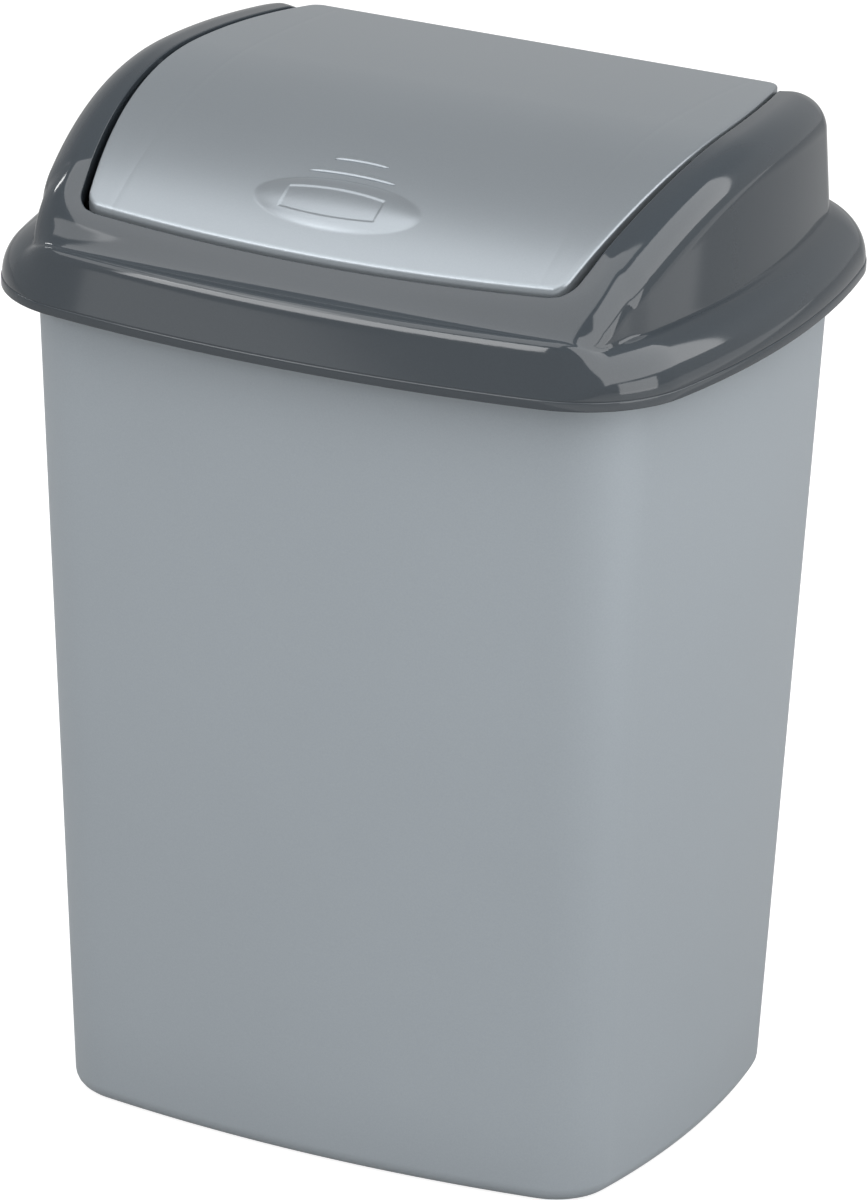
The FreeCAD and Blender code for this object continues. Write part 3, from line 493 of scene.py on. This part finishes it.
def make_hood(material):
    """The hood: a closed section of (inset, height) at each station, carried round the bowed outline.

    It goes up the lip, over the flange and dome to the opening's edge, down the return wall and back up it,
    along the inside of the skin, down and up the seat collar, and inside the flange to the lip.
    """
    plan, out = (part[0] for part in bowed_loop(HOOD_OUTLINE))
    stations = len(plan)
    edge = opening_inset(plan, out)
    one = np.ones((stations, 1))

    def level(spots):
        spots = np.asarray(spots)
        return one * spots[:, 0], one * spots[:, 1]

    lip_top = LIP_BOTTOM + LIP_HEIGHT
    lip_inner = LIP_LEDGE + HOOD_WALL
    lip = level(np.concatenate([
        [(lip_inner, LIP_BOTTOM)],
        arc_points((LIP_ROUND, LIP_BOTTOM + LIP_ROUND), LIP_ROUND, 270, 180),
        [(0, lip_top - LIP_ROUND)],
        arc_points((LIP_ROUND, lip_top - LIP_ROUND), LIP_ROUND, 180, 90, LIP_ROUND_STEPS)[1:],
    ]))
    centre = LIP_LEDGE + FLANGE_ROUND
    crease = crease_inset(plan, out)
    crease_turn = np.arccos((centre - crease) / FLANGE_ROUND)
    flange_inset = centre - FLANGE_ROUND * np.cos(crease_turn * np.linspace(0, 1, FLANGE_STEPS))
    flange = flange_inset, skin_height(flange_inset, plan, out)
    dome = [line[:, 1:] for line in dome_curve(plan, out, crease, edge - OPENING_ROUND, DOME_STEPS)]
    edge_y = plan[:, 1:2] - out[:, 1:2] * edge
    top = skin_height(edge, plan, out)
    turn = np.radians(np.linspace(90, 0, ROUND_STEPS))[1:]
    fold = (edge - OPENING_ROUND * (1 - np.cos(turn)),
            dome[1][:, -1:] - OPENING_ROUND * (1 - np.sin(turn)))
    bottom = np.minimum(arch_height(edge_y, RETURN_DEPTH), top - RETURN_LEAST_DEPTH)
    back = edge - RETURN_WALL
    inner = offset_curve(*dome_curve(plan, out, one * DOME_INSET, back, INNER_STEPS), HOOD_WALL)
    wall = (np.concatenate([edge, back], axis=1), np.concatenate([bottom, bottom], axis=1))
    inner = tuple(line[:, :1:-1] for line in inner)
    collar_in = COLLAR_INSET + COLLAR_WIDTH
    root = skin_height(one * COLLAR_INSET, plan, out) - COLLAR_ROOT_DROP
    collar = (one * np.array([collar_in, collar_in, COLLAR_INSET, COLLAR_INSET]),
              np.concatenate([root, one * RIM_TOP, one * RIM_TOP, root], axis=1))
    inside_reach = math.acos((centre - COLLAR_INSET + HOOD_WALL / 2) / FLANGE_ROUND)
    inside_turn = np.linspace(0, inside_reach, INSIDE_FLANGE_STEPS)
    inside_inset = one * (centre - FLANGE_ROUND * np.cos(inside_turn))
    inside = offset_curve(inside_inset, round_height(inside_inset), HOOD_WALL)
    inside = tuple(line[:, :0:-1] for line in inside)
    heel = level([(lip_inner, FLANGE_FOOT)])
    parts = (lip, flange, dome, fold, wall, inner, collar, inside, heel)
    inset = np.concatenate([part[0] for part in parts], axis=1)
    height = np.concatenate([part[1] for part in parts], axis=1)
    level_points = plan[:, None, :] - out[:, None, :] * inset[..., None]
    points = np.concatenate([level_points, height[..., None]], axis=-1)
    faces = grid_faces(stations, inset.shape[1], close_rows=True, close_columns=True)[:, ::-1]
    make_piece("hood_shell", "hood", material, points, faces, HOOD_SHARP_DEGREES)


def flap_half_width(y, inset):
    """Half width of the flap's barrel outline over a depth position, drawn in by an inset."""
    radius = FLAP_SIDE_RADIUS - inset
    return FLAP_HALF_WIDTH - FLAP_SIDE_RADIUS + np.sqrt(radius**2 - (y - FLAP_SIDE_CENTRE_Y) ** 2)


def dense_steps(low, high, focus, coarse, fine):
    """Places from low to high, at a fine pitch inside the focus range and a coarse one outside it."""
    return np.concatenate([
        np.linspace(low, focus[0], round((focus[0] - low) / coarse), endpoint=False),
        np.linspace(focus[0], focus[1], round((focus[1] - focus[0]) / fine), endpoint=False),
        np.linspace(focus[1], high, round((high - focus[1]) / coarse)),
    ])


def flap_grid(inset):
    """Plan points of the flap as a grid from front to rear and left to right, drawn in by an inset.

    Across, a point's share of the half width is kept. The half width is the barrel's, shortened near the
    front and rear so that the corners are round. Lengthwise, rows run from the bowed front to the rear.
    """
    corner = FLAP_CORNER - inset
    length = FLAP_REAR_Y - FLAP_FRONT_Y - 2 * inset
    ends = corner * (1 - np.cos(np.linspace(0, math.pi / 2, ROUND_STEPS)))
    middle = corner + (length - 2 * corner) * dense_steps(0, 1, *FLAP_ROWS)
    run = np.concatenate([ends, middle[1:-1], length - ends[::-1]])[:, None]
    share = dense_steps(-1, 1, *FLAP_COLUMNS)[None, :]
    side_front = FLAP_FRONT_Y + inset
    near_end = np.maximum(corner - np.minimum(run, length - run), 0)
    shortened = corner - np.sqrt(corner**2 - near_end**2)
    half = flap_half_width(side_front + run, inset) - shortened
    x = share * half
    bow = FLAP_FRONT_RADIUS - np.sqrt((FLAP_FRONT_RADIUS - inset) ** 2 - x**2) - inset
    y = side_front + run + bow * (1 - run / length)
    return x, y


def push_place(x, y):
    """Places on the flap's face seen from the push pad's centre: across, up the slope, and square to it."""
    lean = math.asin((CROWN_Y - PUSH_CENTRE[1]) / ARCH_FRONT_RADIUS)
    back = y - PUSH_CENTRE[1]
    rise = arch_height(y) - arch_height(np.float64(PUSH_CENTRE[1]))
    along = back * math.cos(lean) + rise * math.sin(lean)
    return x - PUSH_CENTRE[0], along, rise * math.cos(lean) - back * math.sin(lean)


def push_height(x, y):
    """Height of the push pad over the flap's face: an ellipsoid half sunk in it, softly joined."""
    across, along, over = push_place(x, y)
    filled = 1 - (across / PUSH_RADII[0]) ** 2 - (along / PUSH_RADII[1]) ** 2
    top = PUSH_RADII[2] * np.sqrt(np.maximum(filled, 0)) - PUSH_SINK
    return smooth_max(np.where(filled > 0, top - over, -PUSH_RADII[2]), 0 * top, PUSH_SOFTNESS)


def plate_depth(x, y):
    """Depth of the plate sunk in the push pad: straight ends, and long edges bowed as parabolas."""
    across, along, _ = push_place(x, y)
    share = (across - PLATE_SHIFT[0]) / PLATE_HALF[0]
    past_end = (np.abs(share) - 1) * PLATE_HALF[0]
    past_edge = np.abs(along - PLATE_SHIFT[1]) - PLATE_HALF[1] - PLATE_BOW * (1 - share**2)
    return PLATE_SINK * smooth_step((PLATE_RAMP / 2, -PLATE_RAMP / 2), np.maximum(past_end, past_edge))


def on_arch(x, y, drop):
    """Points a drop below the arch, square to it."""
    lean = np.arcsin((CROWN_Y - y) / arch_radius(y))
    return np.stack([x + 0 * y, y + drop * np.sin(lean), arch_height(y) - drop * np.cos(lean)], axis=-1)


def loop_order(rows, columns):
    """Vertex numbers round the edge of a grid, from the front left corner along the front first."""
    front = np.arange(columns)
    right = np.arange(1, rows) * columns + columns - 1
    rear = (rows - 1) * columns + np.arange(columns - 2, -1, -1)
    left = np.arange(rows - 2, 0, -1) * columns
    return np.concatenate([front, right, rear, left])


def make_flap(material):
    """The flap: an arched face with its push pad, a rounded edge, a hem, and the same face again inside."""
    x, y = flap_grid(FLAP_EDGE_ROUND)
    rows, columns = x.shape
    upper = on_arch(x, y, plate_depth(x, y) - push_height(x, y))
    x_in, y_in = flap_grid(FLAP_WALL)
    under = on_arch(x_in, y_in, FLAP_WALL - push_height(x_in, y_in))
    order = loop_order(rows, columns)
    x_out, y_out = (part.ravel()[order] for part in flap_grid(0.0))
    x_edge, y_edge = x.ravel()[order], y.ravel()[order]
    x_low, y_low = x_in.ravel()[order], y_in.ravel()[order]
    turn = np.linspace(0, math.pi / 2, ROUND_STEPS)[1:]
    rings = []
    for angle in turn:
        share = math.sin(angle)
        ring = on_arch(x_edge + (x_out - x_edge) * share, y_edge + (y_out - y_edge) * share, 0.0)
        ring[:, 2] -= FLAP_EDGE_ROUND * (1 - math.cos(angle))
        rings.append(ring)
    hem_bottom = arch_height(y_out, FLAP_HEM)
    rings.append(np.stack([x_out, y_out, hem_bottom], axis=-1))
    rings.append(np.stack([x_low, y_low, hem_bottom], axis=-1))
    start = rows * columns
    loop = len(order)
    points = np.concatenate([upper.reshape(-1, 3)] + rings + [under.reshape(-1, 3)])
    numbers = np.concatenate([
        order[None, :],
        start + np.arange(len(rings) * loop).reshape(len(rings), loop),
        (start + len(rings) * loop + order)[None, :],
    ])
    following = np.roll(numbers, -1, axis=1)
    skirt = np.stack([numbers[:-1], numbers[1:], following[1:], following[:-1]], axis=-1).reshape(-1, 4)
    face = grid_faces(rows, columns)
    inside = grid_faces(rows, columns, first=start + len(rings) * loop)[:, ::-1]
    make_piece("flap_plate", "swing_flap", material, points, np.concatenate([face, skirt, inside]))


def make_accents(material):
    """Raised lines over the push pad: a flattened round carried along a parabola, closing in at both ends."""
    share = np.linspace(-1, 1, ACCENT_STEPS)[:, None]
    turn = np.linspace(0, 2 * math.pi, ACCENT_SIDES, endpoint=False)[None, :]
    faces = capped_faces(ACCENT_STEPS, ACCENT_SIDES)
    radius = ACCENT_RADIUS * np.sqrt(ACCENT_END_SHARE - share**ACCENT_END_POWER)
    for word, (first, last, middle_y, fall) in ACCENTS.items():
        x = (first + last) / 2 + (last - first) / 2 * share
        y = middle_y - fall * share**2 + radius * np.cos(turn)
        points = on_arch(x + 0 * turn, y, -ACCENT_FLATNESS * radius * np.sin(turn))
        make_piece(f"flap_accent_{word}", "swing_flap", material, points, faces)


def prism(outline, low, high):
    """Points and faces of a plate: an outline of (y, z) points carried from a low to a high x."""
    ends = [np.column_stack([np.full(len(outline), x), outline]) for x in (low, high)]
    return np.concatenate(ends), capped_faces(len(ends), len(outline))


def round_pivot(radius, turn):
    """Points of (y, z) at a radius from the pivot, one for each angle."""
    return np.column_stack([PIVOT_Y + radius * np.cos(turn), PIVOT_Z + radius * np.sin(turn)])


def ear_outline():
    """An ear's edge: half round below the pivot and straight up to a level top inside the skin."""
    below = round_pivot(EAR_RADIUS, np.linspace(math.pi, 2 * math.pi, EAR_STEPS))
    top = CROWN_Z - EAR_TOP_DROP
    return np.concatenate([below, [(PIVOT_Y + EAR_RADIUS, top), (PIVOT_Y - EAR_RADIUS, top)]])


def bored_ear(low, high):
    """An ear with a round bore: its edge and the bore's circle share directions, so quads join them."""
    outer = ear_outline()
    turn = np.arctan2(outer[:, 1] - PIVOT_Z, outer[:, 0] - PIVOT_Y)
    inner = round_pivot(PIN_RADIUS + PIN_CLEARANCE, turn)
    loops = [np.column_stack([np.full(len(line), x), line])
             for x, line in ((low, outer), (high, outer), (high, inner), (low, inner))]
    faces = grid_faces(len(loops), len(outer), close_rows=True, close_columns=True)
    return np.concatenate(loops), faces


def make_pivots(hood_material, flap_material):
    """The ears, pins and ribs on both sides: bored ears on the hood, ears with pins and ribs on the flap."""
    pin_circle = round_pivot(PIN_RADIUS, np.linspace(0, 2 * math.pi, PIN_SIDES, endpoint=False))
    rib_y = np.linspace(*RIB_ENDS, RIB_STEPS)
    rib_low = np.column_stack([rib_y, arch_height(rib_y, RIB_DEPTH)])
    rib_top = np.column_stack([rib_y, arch_height(rib_y, FLAP_WALL / 2)])
    outlines = {
        "flap_ear": ear_outline(),
        "flap_pin": pin_circle,
        "flap_rib": np.concatenate([rib_low, rib_top[::-1]]),
    }
    hood_ear = FLAP_HALF_WIDTH + FLAP_GAP + EAR_INSET
    flap_ear = FLAP_HALF_WIDTH - EAR_INSET
    for side, way in (("right", 1), ("left", -1)):
        spans = {
            "hood_ear": sorted((way * hood_ear, way * (hood_ear + EAR_THICKNESS))),
            "flap_ear": sorted((way * (flap_ear - EAR_THICKNESS), way * flap_ear)),
            "flap_pin": sorted((way * flap_ear, way * (hood_ear + EAR_THICKNESS))),
            "flap_rib": (way * RIB_X, way * RIB_X + RIB_WIDTH),
        }
        make_piece(f"hood_ear_{side}", "hood", hood_material, *bored_ear(*spans["hood_ear"]))
        for word, outline in outlines.items():
            make_piece(f"{word}_{side}", "swing_flap", flap_material, *prism(outline, *spans[word]))


def principled(name):
    """A new material with its nodes, its links and its Principled shader."""
    material = bpy.data.materials.new(name)
    material.use_nodes = True
    nodes = material.node_tree.nodes
    return material, nodes, material.node_tree.links, nodes["Principled BSDF"]


def chain(nodes, links, operation, *values):
    """A Math node fed by sockets or plain numbers, as its output socket."""
    node = nodes.new("ShaderNodeMath")
    node.operation = operation
    for socket, value in zip(node.inputs, values):
        if isinstance(value, (int, float)):
            socket.default_value = value
        else:
            links.new(value, socket)
    return node.outputs[0]


def noise(nodes, links, place, scale, detail):
    """A Noise Texture over a place vector, as its value socket."""
    node = nodes.new("ShaderNodeTexNoise")
    node.inputs["Scale"].default_value = scale
    node.inputs["Detail"].default_value = detail
    links.new(place, node.inputs["Vector"])
    return node.outputs[0]


def moulding_group():
    """Pigment in a moulding: fine flakes and slow cloudy drift over a colour, with uneven gloss and grain."""
    group = bpy.data.node_groups.new("moulding", "ShaderNodeTree")
    interface = group.interface
    interface.new_socket("Colour", in_out="INPUT", socket_type="NodeSocketColor")
    for name in ("Flake", "Drift", "Roughness"):
        interface.new_socket(name, in_out="INPUT", socket_type="NodeSocketFloat")
    interface.new_socket("Colour", in_out="OUTPUT", socket_type="NodeSocketColor")
    for name in ("Roughness", "Height"):
        interface.new_socket(name, in_out="OUTPUT", socket_type="NodeSocketFloat")
    nodes, links = group.nodes, group.links
    given = nodes.new("NodeGroupInput").outputs
    result = nodes.new("NodeGroupOutput").inputs
    place = nodes.new("ShaderNodeTexCoord").outputs["Object"]
    flake = chain(nodes, links, "SUBTRACT", noise(nodes, links, place, *FLAKE_NOISE), NOISE_MIDDLE)
    drift = chain(nodes, links, "SUBTRACT", noise(nodes, links, place, *DRIFT_NOISE), NOISE_MIDDLE)
    grain = noise(nodes, links, place, *GRAIN_NOISE)
    sparkle = chain(nodes, links, "MULTIPLY", flake, given["Flake"])
    cloud = chain(nodes, links, "MULTIPLY", drift, given["Drift"])
    level = chain(nodes, links, "ADD", chain(nodes, links, "ADD", sparkle, cloud), 1.0)
    tint = nodes.new("ShaderNodeVectorMath")
    tint.operation = "SCALE"
    links.new(given["Colour"], tint.inputs[0])
    links.new(level, tint.inputs["Scale"])
    links.new(tint.outputs[0], result["Colour"])
    links.new(chain(nodes, links, "ADD", given["Roughness"], cloud), result["Roughness"])
    links.new(grain, result["Height"])
    return group


def moulded_material(name, group, colour, pigment_settings, gloss_settings, grain):
    """A plastic with the shared moulding pigment, its colour and gloss, and a fine grain as bump."""
    material, nodes, links, shader = principled(name)
    pigment = nodes.new("ShaderNodeGroup")
    pigment.node_tree = group
    pigment.inputs["Colour"].default_value = (*colour, 1)
    for word, value in pigment_settings.items():
        pigment.inputs[word].default_value = value
    for word, value in gloss_settings.items():
        shader.inputs[word].default_value = value
    links.new(pigment.outputs["Colour"], shader.inputs["Base Color"])
    links.new(pigment.outputs["Roughness"], shader.inputs["Roughness"])
    bump = nodes.new("ShaderNodeBump")
    bump.inputs["Distance"].default_value = grain
    links.new(pigment.outputs["Height"], bump.inputs["Height"])
    links.new(bump.outputs["Normal"], shader.inputs["Normal"])
    return material, nodes, links, bump


def add_sink_lines(nodes, links, bump):
    """Faint sink lines over the flap's ribs: a shallow groove where the side place nears a rib's middle."""
    place = nodes.new("ShaderNodeSeparateXYZ")
    links.new(nodes.new("ShaderNodeTexCoord").outputs["Object"], place.inputs[0])
    masks = []
    for way in (1, -1):
        rib = way * RIB_X + RIB_WIDTH / 2
        away = chain(nodes, links, "ABSOLUTE", chain(nodes, links, "SUBTRACT", place.outputs["X"], rib))
        share = chain(nodes, links, "DIVIDE", away, SINK_WIDTH)
        masks.append(chain(nodes, links, "SMOOTH_MIN", share, 1.0, SINK_SOFTNESS))
    both = chain(nodes, links, "MINIMUM", *masks)
    groove = nodes.new("ShaderNodeBump")
    groove.inputs["Distance"].default_value = SINK_DEPTH
    links.new(both, groove.inputs["Height"])
    links.new(groove.outputs["Normal"], bump.inputs["Normal"])


def make_camera():
    """A long lens that looks down at the front right corner."""
    back = Vector((
        math.sin(CAMERA_AZIMUTH) * math.cos(CAMERA_ELEVATION),
        -math.cos(CAMERA_AZIMUTH) * math.cos(CAMERA_ELEVATION),
        math.sin(CAMERA_ELEVATION),
    ))
    right = Vector((math.cos(CAMERA_AZIMUTH), math.sin(CAMERA_AZIMUTH), 0))
    up = back.cross(right)
    turned_right = right * math.cos(CAMERA_ROLL) + up * math.sin(CAMERA_ROLL)
    turned_up = up * math.cos(CAMERA_ROLL) - right * math.sin(CAMERA_ROLL)
    data = bpy.data.cameras.new("camera")
    data.lens = CAMERA_LENS
    data.shift_x, data.shift_y = CAMERA_SHIFT
    data.clip_end = CAMERA_REACH
    camera = bpy.data.objects.new("camera", data)
    turn = Matrix((turned_right, turned_up, back)).transposed().to_4x4()
    camera.matrix_world = Matrix.Translation(CAMERA_TARGET + back * CAMERA_DISTANCE) @ turn
    bpy.context.scene.collection.objects.link(camera)
    bpy.context.scene.camera = camera


def make_light(name, place, target, width, height, power):
    """A soft box that faces a target."""
    data = bpy.data.lights.new(name, "AREA")
    data.shape = "RECTANGLE"
    data.size, data.size_y = width, height
    data.energy = power
    light = bpy.data.objects.new(name, data)
    light.location = place
    light.rotation_euler = (Vector(target) - Vector(place)).to_track_quat("-Z", "Y").to_euler()
    bpy.context.scene.collection.objects.link(light)


def smooth_range(nodes, links, value, limits):
    """A smooth Map Range over a value, by its from and to limits, as its output socket."""
    node = nodes.new("ShaderNodeMapRange")
    node.interpolation_type = "SMOOTHSTEP"
    for word, limit in zip(("From Min", "From Max", "To Min", "To Max"), limits):
        node.inputs[word].default_value = limit
    links.new(value, node.inputs["Value"])
    return node.outputs["Result"]


def seen_directly(nodes, links, mirrored_share):
    """1 for camera rays, a share of it for glossy and transmission rays, and 0 for the rest, as a socket."""
    path = nodes.new("ShaderNodeLightPath").outputs
    sharp = chain(nodes, links, "MAXIMUM", path["Is Glossy Ray"], path["Is Transmission Ray"])
    mirrored = chain(nodes, links, "MULTIPLY", sharp, mirrored_share)
    return chain(nodes, links, "MAXIMUM", path["Is Camera Ray"], mirrored)


def make_world():
    """Pale studio surroundings: white at the horizon, darker up high, softer as light on the object."""
    world = bpy.data.worlds.new("studio")
    bpy.context.scene.world = world
    world.use_nodes = True
    nodes, links = world.node_tree.nodes, world.node_tree.links
    background = nodes["Background"]
    background.inputs["Color"].default_value = WHITE
    direction = nodes.new("ShaderNodeSeparateXYZ")
    links.new(nodes.new("ShaderNodeTexCoord").outputs["Generated"], direction.inputs[0])
    mix = nodes.new("ShaderNodeMix")
    mix.inputs["A"].default_value = WORLD_FILL
    links.new(smooth_range(nodes, links, direction.outputs["Z"], SKY_FADE), mix.inputs["B"])
    links.new(seen_directly(nodes, links, MIRRORED_SHARE), mix.inputs["Factor"])
    links.new(mix.outputs["Result"], background.inputs["Strength"])


def make_floor():
    """A pale floor that looks white to the camera, and to the hood's gloss beyond a line on the right."""
    material, nodes, links, shader = principled("pale_floor")
    shader.inputs["Base Color"].default_value = FLOOR_GREY
    shader.inputs["Roughness"].default_value = FLOOR_ROUGHNESS
    shader.inputs["Specular IOR Level"].default_value = FLOOR_SPECULAR
    shader.inputs["Emission Color"].default_value = WHITE
    place = nodes.new("ShaderNodeSeparateXYZ")
    links.new(nodes.new("ShaderNodeTexCoord").outputs["Object"], place.inputs[0])
    across, back = place.outputs["X"], place.outputs["Y"]
    sideways = chain(nodes, links, "MULTIPLY_ADD", back, -BRIGHT_FLOOR_SLANT, across)
    share = smooth_range(nodes, links, sideways, (*BRIGHT_FLOOR_EDGE, MIRRORED_SHARE, 1.0))
    glow = chain(nodes, links, "MULTIPLY", seen_directly(nodes, links, share), FLOOR_GLOW)
    links.new(glow, shader.inputs["Emission Strength"])
    side = np.array([(-1, -1), (1, -1), (1, 1), (-1, 1)]) * FLOOR_REACH
    mesh = bpy.data.meshes.new("floor")
    mesh.from_pydata(np.column_stack([side, np.zeros(4)]).tolist(), [], [(0, 1, 2, 3)])
    mesh.materials.append(material)
    floor = bpy.data.objects.new("floor", mesh)
    bpy.context.scene.collection.objects.link(floor)


moulding = moulding_group()
tub_silver, *_ = moulded_material(
    "tub_silver", moulding, TUB_SILVER, TUB_PIGMENT, TUB_GLOSS, TUB_GRAIN)
flap_silver, flap_nodes, flap_links, flap_bump = moulded_material(
    "flap_silver", moulding, FLAP_SILVER, FLAP_PIGMENT, FLAP_GLOSS, FLAP_GRAIN)
add_sink_lines(flap_nodes, flap_links, flap_bump)
slate, *_ = moulded_material(
    "slate_gloss", moulding, SLATE, SLATE_PIGMENT, SLATE_GLOSS, SLATE_GRAIN)
make_tub(tub_silver)
make_hood(slate)
make_flap(flap_silver)
make_accents(flap_silver)
make_pivots(slate, flap_silver)
make_camera()
make_world()
make_floor()
for lamp_name, lamp in LAMPS.items():
    make_light(lamp_name, *lamp)
bpy.context.scene.view_settings.view_transform = "Standard"
